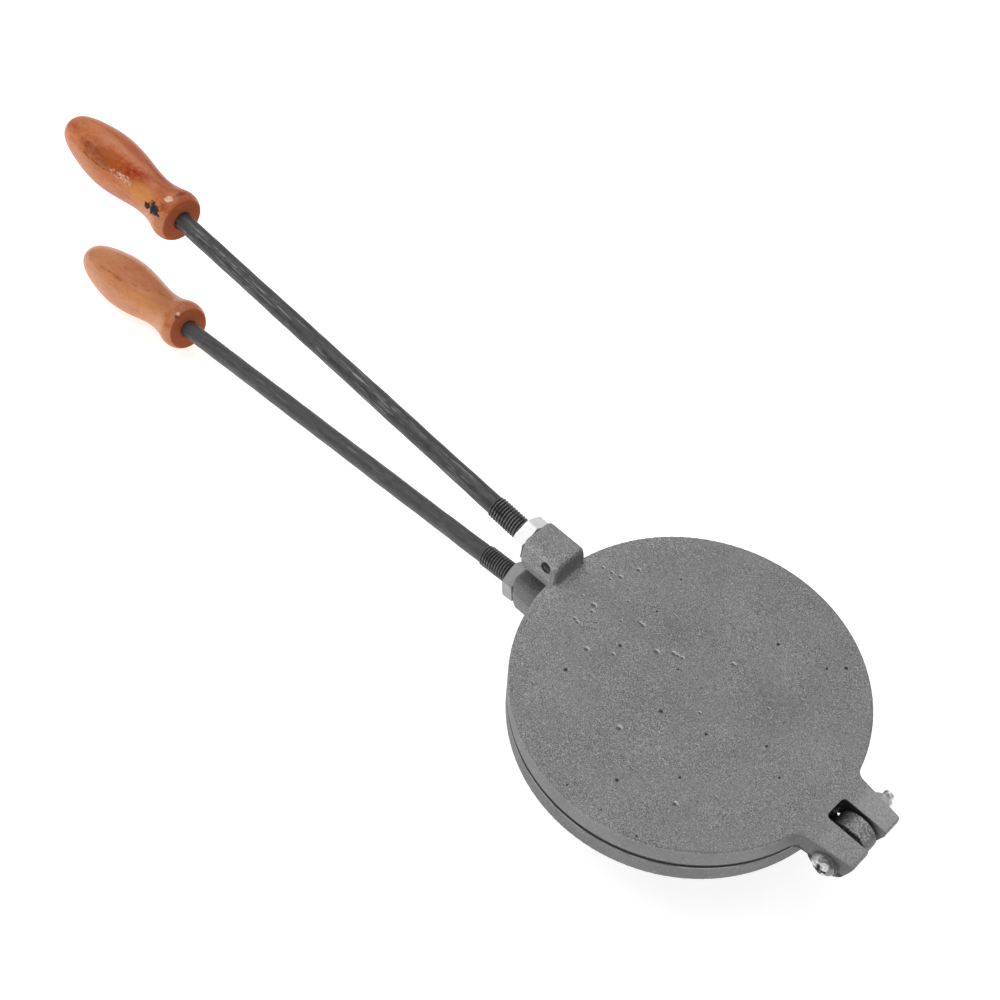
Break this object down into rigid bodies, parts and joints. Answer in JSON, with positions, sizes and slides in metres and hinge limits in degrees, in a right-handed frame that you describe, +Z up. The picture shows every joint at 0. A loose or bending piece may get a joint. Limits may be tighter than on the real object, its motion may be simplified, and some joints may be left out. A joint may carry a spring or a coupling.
{
  "type": "pancake_iron",
  "caption": "Hand-held pancake iron: hinged round cast-iron plates on long black steel rods with turned, lacquered wooden grips",
  "frame": {"origin": "centre of the lower plate's flat underside", "axes": "+X from the handles to the hinge, +Z up through the closed plates, +Y along the hinge pin towards its nut"},
  "size_m": [0.5277, 0.15, 0.1105],
  "materials": {
    "cast_iron": "as-cast grey iron with a fine sparkling grain and small pits",
    "black_steel": "blackened round bar, lightly scratched along its length",
    "zinc": "bright zinc-plated hardware",
    "lacquered_wood": "turned orange-brown wood under clear gloss lacquer"
  },
  "bodies": {
    "lower_half": {"lower_plate": "cast_iron", "lower_rod": "black_steel", "lower_lock_nut": "zinc", "lower_handle": "lacquered_wood"},
    "upper_half": {"upper_plate": "cast_iron", "upper_rod": "black_steel", "upper_lock_nut": "zinc", "upper_handle": "lacquered_wood", "hinge_screw": "zinc", "hinge_nut": "zinc"}
  },
  "joints": [
    {"name": "plate_hinge", "type": "hinge", "parent": "lower_half", "child": "upper_half", "pos_m": [0.086, -0.001, 0.0152], "axis": [0, 1, 0], "range_deg": [0, 180]}
  ]
}
